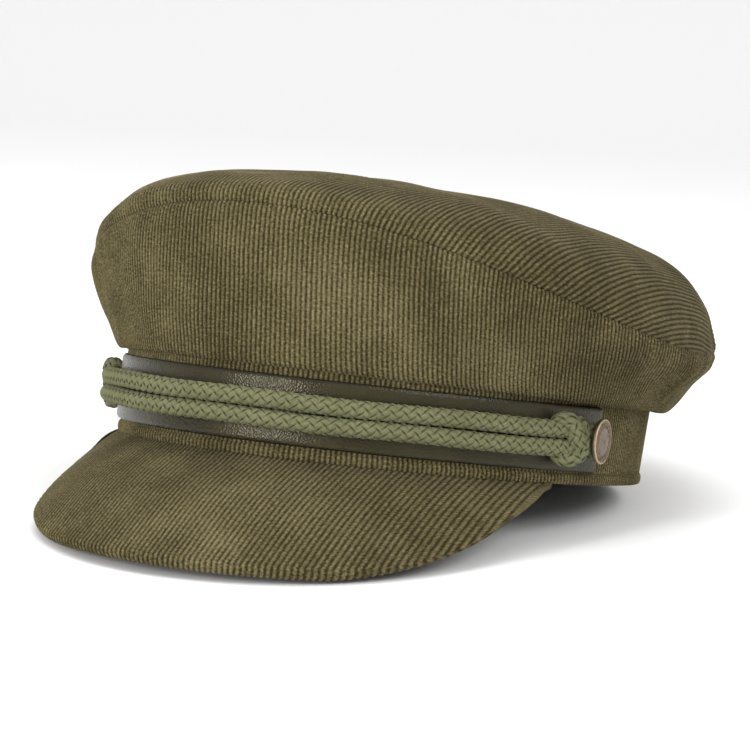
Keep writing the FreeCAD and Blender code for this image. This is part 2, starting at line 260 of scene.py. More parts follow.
def find_shift():
    """Where the leaned cap is set down, read from the frame's left stud."""
    low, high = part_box("stud_left")
    middle = (np.array(low) + np.array(high)) / 2 / MM
    shift = middle - LEANED @ stud_foot(1)
    shift[0] = 0.0
    return shift


SHIFT = find_shift()


def to_world(points):
    return (np.asarray(points, float).reshape(-1, 3) @ LEANED.T + SHIFT) * MM


# ---- meshes from grids ---------------------------------------------------------------
def grid_normals(points, wrap, flip):
    """Unit normals of a (columns, rows, 3) grid."""
    if wrap:
        across = np.roll(points, -1, 0) - np.roll(points, 1, 0)
    else:
        across = np.gradient(points, axis=0)
    along = np.gradient(points, axis=1)
    n = unit(np.cross(across, along))
    return -n if flip else n


def add_object(name, data):
    obj = bpy.data.objects.new(name, data)
    bpy.context.scene.collection.objects.link(obj)
    return obj


def make_object(name, vertices, loops, totals, uv, material, body):
    """Mesh object in the world from flat arrays of corners."""
    mesh = bpy.data.meshes.new(name)
    vertices = to_world(vertices)
    mesh.vertices.add(len(vertices))
    mesh.vertices.foreach_set("co", vertices.astype(np.float32).ravel())
    mesh.loops.add(len(loops))
    mesh.loops.foreach_set("vertex_index", np.asarray(loops, np.int32))
    mesh.polygons.add(len(totals))
    starts = np.concatenate([[0], np.cumsum(totals)[:-1]])
    mesh.polygons.foreach_set("loop_start", starts.astype(np.int32))
    mesh.polygons.foreach_set("loop_total", np.asarray(totals, np.int32))
    mesh.polygons.foreach_set("use_smooth", np.full(len(totals), True))
    mesh.update(calc_edges=True)
    layer = mesh.uv_layers.new(name="cloth")
    layer.data.foreach_set("uv", np.asarray(uv, np.float32).ravel())
    mesh.validate()
    mesh.materials.append(material)
    obj = add_object(name, mesh)
    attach(obj, body)
    return obj


def tube(name, grid, phase, length, wrap, material, body, flip=False):
    """Closed mesh whose rows close on themselves; columns close too, or end in caps.

    grid is (columns, rows, 3); phase has one value per column and one more for a ring;
    length is (columns, rows).
    """
    cols, rows = grid.shape[:2]
    count = cols if wrap else cols - 1
    c = np.arange(count)[:, None]
    r = np.arange(rows)[None, :]
    c1 = (c + 1) % cols
    r1 = (r + 1) % rows
    corners = (c * rows + r, c1 * rows + r, c1 * rows + r1, c * rows + r1)
    quads = np.stack(np.broadcast_arrays(*corners), -1)
    u0 = np.broadcast_to(phase[:count][:, None], (count, rows))
    u1 = np.broadcast_to(phase[1:count + 1][:, None], (count, rows))
    after = np.roll(np.arange(rows), -1)
    v00 = length[:count]
    v10 = length[np.arange(1, count + 1) % cols]
    uv = np.stack([np.stack([u0, v00], -1), np.stack([u1, v10], -1),
                   np.stack([u1, v10[:, after]], -1), np.stack([u0, v00[:, after]], -1)], 2)
    if flip:
        quads = quads[..., ::-1]
        uv = uv[:, :, ::-1]
    loops = [quads.reshape(-1)]
    totals = [np.full(count * rows, 4)]
    uvs = [uv.reshape(-1, 2)]
    if not wrap:
        first = np.arange(rows)
        last = (cols - 1) * rows + np.arange(rows)
        for ring, column in ((first[::-1] if not flip else first, 0),
                             (last if not flip else last[::-1], cols - 1)):
            loops.append(ring)
            totals.append([rows])
            uvs.append(np.stack([np.full(rows, phase[column]), length[column][ring % rows]], -1))
    return make_object(name, grid.reshape(-1, 3), np.concatenate(loops), np.concatenate(totals),
                       np.concatenate(uvs), material, body)


def back_picks(count, keep):
    """The few rows that the hidden face of a sheet needs, from last to first."""
    return np.unique(np.round(np.linspace(0, count - 1, keep)).astype(int))[::-1]


def shell(name, base, phase, thickness, material, body, wrap=False, relief=0.0, flip=False, back_rows=5):
    """Sheet of a given thickness under a grid of points, with rounded edges."""
    normal = grid_normals(base, wrap, flip)
    length = along_length(base) / WALE
    outer = base + normal * np.broadcast_to(relief, base.shape[:2])[..., None]
    picks = back_picks(base.shape[1], back_rows)
    inner = (base - normal * thickness)[:, picks]
    turned = []
    for end, neighbour in ((-1, -2), (0, 1)):
        ahead = unit(base[:, end] - base[:, neighbour])
        middle = base[:, end] - normal[:, end] * (thickness / 2) + ahead * (0.35 * thickness)
        turned.append(middle[:, None])
    grid = np.concatenate([outer, turned[0], inner, turned[1]], 1)
    spread_length = np.concatenate([length, length[:, -1:], length[:, picks], length[:, :1]], 1)
    return tube(name, grid, phase, spread_length, wrap, material, body, flip)


def ribs(phase, height=RIB_HEIGHT):
    """Rise and fall of the cloth over its ribs."""
    return height * ((0.5 + 0.5 * np.cos(2 * pi * phase)) ** RIB_ROUNDNESS - 0.5)


SWELL_WAVES = 14


def undulation(points, wavelength, seed):
    """Soft, seamless swell between about -1 and 1 for points in the cap's space."""
    rng = np.random.default_rng(seed)
    total = np.zeros(points.shape[:-1])
    for _ in range(SWELL_WAVES):
        direction = unit(rng.normal(size=3))
        span = wavelength * rng.uniform(0.7, 1.8)
        total += np.sin(points @ direction * (2 * pi / span) + rng.uniform(0, 2 * pi))
    return total / np.sqrt(SWELL_WAVES / 2) / 1.6


def columns_round(curve, step, start, stop):
    """Angles from start to stop that are evenly spaced by arc length along curve(t)."""
    table = np.linspace(start, stop, 4001)
    points = curve(table)
    run = np.concatenate([[0], np.cumsum(np.linalg.norm(np.diff(points, axis=0), axis=-1))])
    wales = max(round(run[-1] / step), 1)
    count = wales * WALE_STEPS
    return np.interp(np.linspace(0, run[-1], count + 1), run, table), np.linspace(0, wales, count + 1)


# ---- materials -----------------------------------------------------------------------
class Nodes:
    """Short way to add shader nodes to one material."""

    def __init__(self, name):
        self.material = bpy.data.materials.new(name)
        self.material.use_nodes = True
        self.tree = self.material.node_tree
        self.tree.nodes.clear()
        self.output = self.tree.nodes.new("ShaderNodeOutputMaterial")

    def add(self, kind, settings=None, **sockets):
        node = self.tree.nodes.new(kind)
        for key, value in (settings or {}).items():
            setattr(node, key, value)
        for key, value in sockets.items():
            self.feed(node, key.replace("_", " "), value)
        return node

    def feed(self, node, key, value):
        socket = node.inputs[int(key[1:])] if key[0] == "i" and key[1:].isdigit() else node.inputs[key]
        if isinstance(value, bpy.types.NodeSocket):
            self.tree.links.new(value, socket)
        else:
            socket.default_value = value

    def math(self, operation, a, b=0.0):
        return self.add("ShaderNodeMath", {"operation": operation}, i0=a, i1=b).outputs[0]

    def cloth(self):
        """The mesh's own (rib, length) map, and its two parts."""
        uv = self.add("ShaderNodeUVMap", {"uv_map": "cloth"}).outputs[0]
        parts = self.add("ShaderNodeSeparateXYZ", None, i0=uv).outputs
        return uv, parts[0], parts[1]

    def place(self):
        return self.add("ShaderNodeTexCoord").outputs["Object"]

    def mix(self, share, a, b, blend="MIX"):
        node = self.add("ShaderNodeMix", {"data_type": "RGBA", "blend_type": blend})
        self.feed(node, "i0", share)
        self.feed(node, "i6", a)
        self.feed(node, "i7", b)
        return node.outputs[2]

    def noise(self, vector, scale, detail=2.0, roughness=0.5):
        node = self.add("ShaderNodeTexNoise", Vector=vector, Scale=scale, Detail=detail,
                        Roughness=roughness)
        return node.outputs["Fac"]

    def remap(self, value, low, high, to_low=0.0, to_high=1.0):
        node = self.add("ShaderNodeMapRange", None, i0=value, i1=low, i2=high, i3=to_low, i4=to_high)
        return node.outputs[0]

    def scaled(self, vector, scale):
        node = self.add("ShaderNodeMapping", None, Vector=vector, Scale=scale)
        return node.outputs[0]

    def bump(self, height, strength, distance):
        return self.add("ShaderNodeBump", None, Height=height, Strength=strength,
                        Distance=distance).outputs[0]

    def surface(self, **sockets):
        shader = self.add("ShaderNodeBsdfPrincipled", None, **sockets)
        self.tree.links.new(shader.outputs[0], self.output.inputs["Surface"])
        return shader


def corduroy(name, valley_shade, low, high):
    """Ribbed cotton: valleys painted dark as shade and rib tops painted lighter as if lit, uneven in
    tufts and patches.
    """
    m = Nodes(name)
    uv, around, _ = m.cloth()
    place = m.place()
    wave = m.math("COSINE", m.math("MULTIPLY", around, 2 * pi))
    rib = m.math("ADD", m.math("MULTIPLY", wave, 0.5), 0.5)
    tuft = m.noise(m.scaled(uv, (1.6, 2.1, 1.0)), 1.0, 2.0, 0.7)
    fibre = m.noise(place, 2100.0, 2.0, 0.7)
    patch = m.noise(place, 48.0, 4.0, 0.6)
    broad = m.noise(place, 14.0, 2.0, 0.5)
    # painted light and shade across each rib: dark in the valleys, lighter on the rib tops
    shade = m.remap(rib, 0.0, 0.8, -0.05, 0.42)
    for value, amount in ((tuft, 1.5), (fibre, 0.8), (patch, 0.75), (broad, 0.4)):
        shade = m.math("ADD", shade, m.math("MULTIPLY", m.math("SUBTRACT", value, 0.5), amount))
    colour = m.mix(m.remap(shade, -0.05, 0.35), valley_shade, low)
    colour = m.mix(m.remap(shade, 0.35, 0.95), colour, high)
    height = m.math("ADD", m.math("MULTIPLY", tuft, 0.8), m.math("MULTIPLY", fibre, 0.35))
    m.surface(Base_Color=colour, Roughness=0.95, Normal=m.bump(height, 0.6, 0.0005),
              Sheen_Weight=0.12, Sheen_Roughness=0.4, Sheen_Tint=(0.8, 0.7, 0.5, 1.0),
              Specular_IOR_Level=0.06)
    return m.material


LEATHER_DARK = (0.018, 0.016, 0.007, 1)
LEATHER_LIGHT = (0.028, 0.025, 0.011, 1)
LEATHER_EDGE = (0.009, 0.008, 0.005, 1)


def leather():
    """Smooth glossy leather with a fine grain and a dark cut edge."""
    m = Nodes("leather")
    place = m.place()
    grain = m.add("ShaderNodeTexVoronoi", {"feature": "F1"}, Vector=place, Scale=1500.0)
    cells = grain.outputs["Distance"]
    blotch = m.noise(place, 60.0, 3.0)
    across = m.cloth()[2]
    span = (STRIP_HIGH - STRIP_LOW) / WALE
    centre = m.math("ABSOLUTE", m.math("SUBTRACT", across, span / 2))
    edge = m.remap(centre, span / 2 - 0.55, span / 2 - 0.1)
    colour = m.mix(m.remap(blotch, 0.3, 0.7), LEATHER_DARK, LEATHER_LIGHT)
    colour = m.mix(edge, colour, LEATHER_EDGE)
    m.surface(Base_Color=colour, Roughness=m.remap(blotch, 0.2, 0.8, 0.25, 0.33),
              Normal=m.bump(cells, 0.4, 0.0003), Specular_IOR_Level=0.26,
              Specular_Tint=(1.0, 0.95, 0.74, 1.0))
    return m.material


CORD_DARK = (0.077, 0.078, 0.035, 1)
CORD_LIGHT = (0.172, 0.173, 0.092, 1)
STRAND_EDGE_SHADE = (0.042, 0.046, 0.020, 1)


def cord_cloth():
    """Matt cotton yarn, painted darker along each strand's edges as shade where it meets its neighbours.
    """
    m = Nodes("braided_cord")
    uv, around, _ = m.cloth()
    place = m.place()
    crown = m.math("SINE", m.math("MULTIPLY", around, 2 * pi))
    yarn = m.noise(m.scaled(uv, (14.0, 0.9, 1.0)), 1.0, 2.0, 0.6)
    fibre = m.noise(place, 1900.0, 2.0, 0.6)
    patch = m.noise(place, 90.0, 2.0)
    shade = m.math("ADD", m.math("MULTIPLY", yarn, 0.55), m.math("MULTIPLY", fibre, 0.35))
    shade = m.math("ADD", shade, m.math("MULTIPLY", patch, 0.25))
    colour = m.mix(m.remap(shade, 0.35, 0.8), CORD_DARK, CORD_LIGHT)
    # painted shade: each strand darkens from its top towards its edges and its side that faces the core
    colour = m.mix(m.remap(crown, 0.1, 0.8), STRAND_EDGE_SHADE, colour)
    m.surface(Base_Color=colour, Roughness=0.85, Normal=m.bump(shade, 0.4, 0.0002),
              Sheen_Weight=0.1, Sheen_Roughness=0.5, Sheen_Tint=(0.7, 0.75, 0.5, 1.0),
              Specular_IOR_Level=0.15)
    return m.material


RIM_FROM = 21.2               # run of the stud's profile at which its worn rim lies
RIM_TO = 22.0


def metal(name, colour, worn, roughness):
    """Stained metal, rubbed bright along the stud's rim."""
    m = Nodes(name)
    place = m.place()
    stain = m.noise(place, 900.0, 2.0)
    rim = m.cloth()[2]
    wear = m.math("MULTIPLY", m.remap(rim, RIM_FROM, RIM_FROM + 0.2), m.remap(rim, RIM_TO, RIM_TO - 0.2))
    tone = m.mix(m.remap(stain, 0.35, 0.7), colour, [c * 0.75 for c in colour[:3]] + [1.0])
    tone = m.mix(wear, tone, worn)
    m.surface(Base_Color=tone, Metallic=1.0,
              Roughness=m.remap(stain, 0.3, 0.7, roughness, roughness + 0.15))
    return m.material


def plain_cloth(name, dark, light, threads, bump=0.4, roughness=0.85):
    """Fine woven cloth; threads gives how many a millimetre of each direction has."""
    m = Nodes(name)
    place = m.place()
    warp, weft = (m.math("SINE", m.math("MULTIPLY", part, 2 * pi * threads)) for part in m.cloth()[1:])
    weave = m.math("MULTIPLY", warp, weft)
    patch = m.noise(place, 90.0, 3.0)
    shade = m.math("ADD", m.math("MULTIPLY", weave, 0.2), patch)
    m.surface(Base_Color=m.mix(m.remap(shade, 0.3, 0.75), dark, light), Roughness=roughness,
              Normal=m.bump(weave, bump, 0.0002), Sheen_Weight=0.15)
    return m.material


def mottled(name, dark, light, scale, roughness):
    """Plain inner material: board, felt or fusing."""
    m = Nodes(name)
    place = m.place()
    grain = m.noise(place, scale, 4.0, 0.65)
    m.surface(Base_Color=m.mix(m.remap(grain, 0.3, 0.7), dark, light), Roughness=roughness,
              Normal=m.bump(grain, 0.3, 0.0003))
    return m.material


# painted shade of the valleys, then the lower and upper part of a rib, the upper painted lighter as if
# lit
CORDUROY = corduroy("corduroy", (0.024, 0.020, 0.008, 1), (0.086, 0.071, 0.032, 1),
                    (0.214, 0.182, 0.102, 1))
# darker copy of the corduroy: painted shade for the peak's underside and the cloth turned in at the
# mouth
UNDER_SHADED = corduroy("corduroy_under", (0.021, 0.017, 0.007, 1), (0.077, 0.063, 0.029, 1),
                 (0.190, 0.162, 0.091, 1))
LEATHER_SKIN = leather()
BRAID = cord_cloth()
METAL = metal("antique_metal", (0.20, 0.155, 0.115, 1.0), (0.47, 0.36, 0.21, 1.0), 0.42)
LINING = plain_cloth("lining", (0.026, 0.024, 0.015, 1), (0.052, 0.047, 0.030, 1), 2.0, 0.2, 0.5)
LABEL = plain_cloth("label", (0.30, 0.27, 0.20, 1), (0.46, 0.42, 0.33, 1), 1.5)
SWEATBAND = plain_cloth("sweatband_cloth", (0.020, 0.019, 0.014, 1), (0.060, 0.055, 0.040, 1), 1.0, 0.6)
TAPE = plain_cloth("cotton_tape", (0.035, 0.030, 0.016, 1), (0.075, 0.065, 0.036, 1), 1.2)
INTERFACING = mottled("interfacing", (0.42, 0.41, 0.38, 1), (0.60, 0.59, 0.55, 1), 900.0, 0.9)
BOARD = mottled("peak_board", (0.030, 0.030, 0.030, 1), (0.060, 0.060, 0.058, 1), 300.0, 0.6)


# ---- crown ---------------------------------------------------------------------------
SIDE_MIDDLE = 0.55            # height on the crown's side at which its cloth is measured
SEAM_SPREAD = 112             # mm of the crown's side for a radian, near its joins
SEAM_TUCK = (0.3, 0.8)        # depth and width of the top seam's tuck
SIDE_CURVE = (0.9, 1.2)       # radians from the front: start and length of the ease to the back


def tuck(distance, depth, width):
    """How far a surface is drawn in near a seam."""
    return -depth * np.exp(-(distance / width) ** 2)


def behind_curve(t):
    """0 over the front of the crown, 1 over its sides and back."""
    return smooth((np.abs(t) - SIDE_CURVE[0]) / SIDE_CURVE[1])


def puckers(t, distance, strength):
    """Small gathers that run down from a seam and fade with distance."""
    ripple = np.sin(46 * t + 2.2 * np.sin(5 * t)) + 0.6 * np.sin(71 * t + 1.0)
    return strength * ripple * np.exp(-distance / 9.0)


def slackness(points):
    """The cloth's unevenness over the crown."""
    sway = 0.8 * undulation(points, 46.0, 3) + 0.35 * undulation(points, 17.0, 8)
    return 0.8 * np.tanh(sway) - 0.35


def parallel_ribs(s, v, stop):
    """Angle at which the rib that starts s from the front reaches height v of the side.

    Ribs stay parallel over the front and close up towards the panel's ends.
    """
    table = np.linspace(0, stop, 1201)
    middle = along_length(crown_side(table, np.array(SIDE_MIDDLE))[None])[0, -1]
    angles = []
    for height in v:
        run = along_length(crown_side(table, np.array(height))[None])[0]
        far = np.abs(s) + (run[-1] - middle) * smooth((np.abs(s) / middle - 0.5) / 0.5)
        angles.append(np.sign(s) * np.interp(far, run, table))
    return np.stack(angles, -1)


def crown_side_panel(name, node, start, stop):
    """Side panel between two angles; a panel that is even about the front has parallel ribs."""
    t, phase = columns_round(lambda s: crown_side(s, SIDE_MIDDLE), WALE, radians(start), radians(stop))
    v = np.concatenate([np.linspace(0, 0.12, 6)[:-1], np.linspace(0.12, 0.94, 27)[:-1],
                        np.linspace(0.94, 1, 6)])
    if start == -stop:
        half = (phase - phase[-1] / 2) * WALE
        quarter = np.linspace(0, radians(stop), 1201)
        run = along_length(crown_side(quarter, np.array(SIDE_MIDDLE))[None])[0, -1]
        t = parallel_ribs(half * run / np.abs(half[0]), v, radians(stop))
    else:
        t = t[:, None] + 0 * v[None, :]
    base = crown_side(t, v[None, :])
    normal = grid_normals(base, False, False)
    run = along_length(base)
    from_seam = run[:, -1:] - run
    slack = slackness(base) * smooth(from_seam / 9) * smooth(run / 12)
    behind = behind_curve(t)
    swell = slack + puckers(t, from_seam, 0.12 + 0.4 * behind) * smooth(from_seam / 2.5)
    swell = swell + tuck(from_seam, *SEAM_TUCK) * (1 - behind)
    swell = swell - (tuck(from_seam, 0.5, 1.5) - tuck(from_seam - 4.0, 1.1, 3.0)) * behind
    for edge in (start, stop):
        swell = swell + tuck(np.abs(t - radians(edge)) * SEAM_SPREAD, 0.8, 1.2)
    base = base + normal * swell[..., None]
    obj = shell(name, base, phase, CLOTH, CORDUROY, "cap", relief=ribs(phase[:, None]))
    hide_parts(node)


def crown_top_panel():
    """Top panel, with ribs that run from front to back over the flat cloth."""
    flat = FlatTop()
    widest = flat.x.max() * 0.99998
    wales = round(2 * widest / WALE)
    x = np.linspace(-widest, widest, wales * WALE_STEPS + 1)
    phase = np.linspace(0, wales, wales * WALE_STEPS + 1)
    front, back = flat.outline(x)
    q = np.sin(np.linspace(-pi / 2, pi / 2, 85)) * 0.5 + 0.5
    y = front[:, None] * (1 - q)[None, :] + back[:, None] * q[None, :]
    t, r = flat.lift(x[:, None] + 0 * y, y)
    base = crown_top(t, r)
    normal = grid_normals(base, False, False)
    seam = crown_seam(t) + UP * LAYER_GAP
    from_seam = np.linalg.norm(base - seam, axis=-1)
    behind = behind_curve(t)
    swell = slackness(base) * smooth(from_seam / 10)
    swell = swell + puckers(t, from_seam, 0.10 + 0.4 * behind) * smooth(from_seam / 2.5)
    swell = swell + tuck(from_seam, *SEAM_TUCK) * (1 - behind) - tuck(from_seam, 0.6, 3.0) * behind
    swell = swell + 0.55 * np.exp(-((from_seam - 5.5) / 2.8) ** 2) * (1 - behind)
    base = base + normal * swell[..., None]
    obj = shell("crown_top_cloth", base, phase, CLOTH, CORDUROY, "cap", relief=ribs(phase[:, None]))
    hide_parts("crown_top_panel")


# ---- band ----------------------------------------------------------------------------
HEM_STITCH = 0.35             # depth of the stitched line above the hem
STRIP_CORNER = 1.2            # radius of the leather's corners
STRIP_SPREAD = 100            # mm of the strip for a radian round the band
EDGE_DROP = 0.45              # how far the leather's rounded edge falls, and over what width
EDGE_WIDTH = 0.55


def band_cloth():
    """Band with its turned hem, a stitched line above the hem and upright ribs."""
    t, phase = columns_round(lambda s: band_point(s, 15.0), WALE, -pi, pi)
    t = t[:-1]
    above_hem = np.array([3.7, 4.3, 6, 12, 20, 26, 27.5, 29, BAND_HEIGHT])
    z = np.concatenate([np.linspace(0, HEM_HEIGHT, 12), above_hem])
    wave = np.clip(np.sin(pi * (z + HEM_STITCH) / (HEM_HEIGHT + HEM_STITCH)), 0, None)
    bulge = HEM_BULGE * np.sqrt(wave)
    bulge[z >= HEM_HEIGHT] = 0.0
    bulge[z == HEM_HEIGHT] = -HEM_STITCH
    base = band_point(t[:, None], z[None, :], bulge[None, :] - RIB_HEIGHT * 0.3)
    obj = shell("band_cloth", base, phase, CLOTH - 0.3, CORDUROY, "cap", wrap=True,
                relief=ribs(phase[:-1, None]))
    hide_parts("outer_band")


def strip():
    """Leather strip round the front of the band, with rounded corners and edges."""
    end = radians(STUD_ANGLE + STRIP_PAST_STUD)
    corner = STRIP_CORNER
    in_corner = np.array([0, 0.12, 0.35, 0.7, 1.0]) * corner / STRIP_SPREAD
    first = 1.6 * corner / STRIP_SPREAD
    columns = np.concatenate([-end + in_corner, np.linspace(-end + first, end - first, 181),
                              end - in_corner[::-1]])
    from_end = (end - np.abs(columns)) * STRIP_SPREAD
    across_corner = np.clip(corner - from_end, 0, None)
    inset = corner - np.sqrt(np.clip(corner ** 2 - across_corner ** 2, 0, None))
    share = np.array([0, 0.012, 0.035, 0.07, 0.12, 0.3, 0.5, 0.7, 0.88, 0.93, 0.965, 0.988, 1.0])
    z = STRIP_LOW + inset[:, None] + (STRIP_HIGH - STRIP_LOW - 2 * inset[:, None]) * share[None, :]
    near = np.minimum(share, 1 - share) * (STRIP_HIGH - STRIP_LOW)
    rim = EDGE_DROP * np.exp(-(near / EDGE_WIDTH) ** 2)
    side = EDGE_DROP * np.exp(-(from_end / EDGE_WIDTH) ** 2)
    offset = LAYER_GAP + LEATHER - np.maximum(rim[None, :], side[:, None])
    base = band_point(columns[:, None], z, offset)
    obj = shell("leather_band", base, columns * STRIP_SPREAD / WALE, LEATHER - 0.5, LEATHER_SKIN, "cap",
                back_rows=4)
    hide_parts("leather_strip")


# ---- peak ----------------------------------------------------------------------------
PEAK_DOWN = np.array([0.0, 0.3, -0.95])
PEAK_SIDES = 0.6              # share of the half width beyond which the peak thins out
PEAK_SIDE_THINNING = 0.62
PEAK_BOARD_SHARE = 0.72       # how much of the peak's width the board fills
# places of the last ribs, as shares of the half width in from its end
PEAK_END_STEPS = (1e-6, 6e-6, 2.5e-5, 9e-5, 2.5e-4, 6e-4, 1.2e-3, 2.2e-3, 3.6e-3, 5.5e-3, 8e-3, 0.011)


def peak_columns():
    """Distances from the middle, and denser where the outline turns back."""
    widest = oval(np.array([radians(PEAK_ANGLE)]))[0, 0]
    count = round(2 * widest / WALE) * WALE_STEPS
    x = np.linspace(-widest, widest, count + 1)[1:-1]
    ends = widest * (1 - np.array(PEAK_END_STEPS))
    x = np.unique(np.concatenate([x, ends, -ends]))
    return x, x / WALE + 0.25


def beside(x):
    """0 over the middle of the peak, 1 along its side edges."""
    widest = oval(np.array([radians(PEAK_ANGLE)]))[0, 0]
    return smooth((np.abs(x) / widest - PEAK_SIDES) / 0.35)


def peak_depth(x):
    """Thickness of the peak, which thins out at its sides and where its edge meets the band."""
    reach = np.linalg.norm(peak_surface(x, 1.0) - peak_surface(x, 0.0), axis=-1)
    return PEAK_THICKNESS * (0.3 + 0.7 * smooth(reach / 16)) * (1 - PEAK_SIDE_THINNING * beside(x))


def peak_upper():
    """Top cloth, rolled round the peak's edge and tucked up into the band's seam."""
    x, phase = peak_columns()
    w = np.concatenate([np.linspace(0, 0.06, 4)[:-1], np.linspace(0.06, 0.94, 32)[:-1],
                        np.linspace(0.94, 0.985, 4)])
    base = peak_surface(x[:, None], w[None, :])
    normal = grid_normals(base, False, True)
    swell = 0.3 * undulation(base, 40.0, 12) - 0.1
    base = base + normal * (swell * smooth(w / 0.15)[None, :])[..., None]
    half = peak_depth(x)[:, None] / 2
    up = normal[:, -1]
    edge = base[:, -1]
    tangent = np.gradient(edge, axis=0)
    ahead = unit(np.cross(tangent, up))
    centre = edge - up * half
    turn = np.linspace(0, pi, 13)[1:]
    round_out = (0.75 - 0.3 * beside(x))[:, None, None]
    roll = (centre[:, None] + up[:, None] * half[:, None] * np.cos(turn)[None, :, None]
            + ahead[:, None] * half[:, None] * round_out * np.sin(turn)[None, :, None])
    back = roll[:, -1:] - ahead[:, None] * half[:, None] * np.array([0.5, 1.2])[None, :, None]
    into_band = base[:, :1] + np.array([0.0, 1.4, 0.8])
    whole = np.concatenate([into_band, base, roll, back], 1)
    relief = ribs(phase[:, None]) * np.ones(whole.shape[1])[None, :]
    obj = shell("peak_cloth", whole, phase, 0.8, CORDUROY, "cap", relief=relief, back_rows=12, flip=True)
    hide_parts("peak_top_cover")


def peak_lower():
    """Under cloth of the peak."""
    x, phase = peak_columns()
    w = np.linspace(0, 0.96, 30)
    base = peak_surface(x[:, None], w[None, :]) + PEAK_DOWN * (peak_depth(x) - 0.25)[:, None, None]
    # the under cloth takes the corduroy's darker copy, painted shade
    obj = shell("peak_under_cloth", base, phase, 0.7, UNDER_SHADED, "cap", relief=ribs(phase[:, None], 0.35))
    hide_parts("peak_under_cover")


def peak_stiffening():
    """Board between the peak's two cloths."""
    x = peak_columns()[0][::4] * PEAK_BOARD_SHARE
    w = np.linspace(0.05, 0.92, 24)
    base = peak_surface(x[:, None], w[None, :]) + PEAK_DOWN * (0.33 * peak_depth(x))[:, None, None]
    obj = shell("peak_board_form", base, x / WALE, 0.9, BOARD, "cap", flip=True)
    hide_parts("peak_board")


# ---- inside --------------------------------------------------------------------------
RING_STEPS = 720


def band_turning():
    """The band's cloth where it folds in under the stiffener at the mouth."""
    t = np.linspace(-pi, pi, RING_STEPS + 1)
    heights = np.array([2.6, 1.3, 0.9, 0.9, 1.3, 2.6])
    offsets = np.array([-1.0, -1.15, -1.6, -3.0, -3.5, -3.6])
    base = band_point(t[:-1, None], heights[None, :], offsets[None, :])
    # the turned-in cloth takes the corduroy's darker copy, painted shade
    obj = shell("band_turning", base, t * HEAD_HALF_LENGTH / WALE, 0.3, UNDER_SHADED, "cap", wrap=True,
                flip=True)


def ring(name, node, slot, material, heights, offset, thickness):
    """Upright ring inside the band."""
    t = np.linspace(-pi, pi, RING_STEPS + 1)
    base = band_point(t[:-1, None], np.asarray(heights)[None, :], offset)
    obj = shell(name, base, t * HEAD_HALF_LENGTH / WALE, thickness, material, "cap", wrap=True)
    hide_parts(node)


LABEL_HALF = (24, 14)         # half width and half length of the label


def lining_wall():
    """Loose side lining, from behind the sweatband up to the lining's top disc."""
    t = np.linspace(-pi, pi, RING_STEPS + 1)
    v = np.linspace(0, 1, 25)
    rim = crown_top(t[:-1], LINING_SCALE)
    out = oval_normal(t[:-1])
    foot = band_point(t[:-1], SWEATBAND_HIGH + 0.8, SWEATBAND_OUT + 0.3)
    head = rim - out * (LINING_DEPTH + 0.2) - UP * LINING_DEPTH
    wall = foot[:, None] * (1 - v)[None, :, None] + head[:, None] * v[None, :, None]
    pleats = 0.7 * np.sin(38 * t[:-1] + 2 * np.sin(7 * t[:-1]))[:, None]
    fold = 2.0 * np.sin(pi * v)[None, :] + pleats * np.sin(pi * v)[None, :]
    wall = wall + out[:, None] * fold[..., None]
    obj = shell("lining_wall", wall[:, ::-1], t * 60, 0.4, LINING, "cap", wrap=True)
    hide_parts("lining_side")


def lining_disc():
    """Top lining, hung a little below the crown's top panel."""
    x = np.linspace(-0.998, 0.998, 161)
    half = np.sqrt(1 - x * x)
    q = np.sin(np.linspace(-pi / 2, pi / 2, 81))
    px = x[:, None] + 0 * q[None, :]
    py = half[:, None] * q[None, :]
    r = LINING_SCALE * np.hypot(px, py)
    disc = crown_top(np.arctan2(px, -py), r)
    waves = 0.5 * undulation(disc, 34.0, 21) * smooth((LINING_SCALE - r) * 9)
    disc[..., 2] -= LINING_DEPTH + 0.9 + waves
    obj = shell("lining_disc", disc[:, ::-1], np.linspace(0, 110, 161), 0.4, LINING, "cap")
    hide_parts("lining_top")


def label():
    """Blank woven label under the lining's top disc."""
    wide, deep = LABEL_HALF
    lx = np.linspace(-wide, wide, 41)
    ly = np.linspace(CROWN_APEX_BACK - deep, CROWN_APEX_BACK + deep, 25)
    z = CROWN_TOP_HEIGHT - CROWN_TOP_SLOPE * ly[None, :] - LINING_DEPTH - 2.2 + 0 * lx[:, None]
    edge = np.minimum(wide - np.abs(lx)[:, None], deep - np.abs(ly - CROWN_APEX_BACK)[None, :])
    waves = 0.25 * undulation(stack(lx[:, None], ly[None, :], z), 20.0, 30)
    z = z - 0.2 * smooth((edge - 1.4) / 0.8) + waves
    obj = shell("woven_label", stack(lx[:, None], ly[None, :], z)[:, ::-1], lx / WALE, 0.3, LABEL, "cap")
    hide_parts("lining_label")


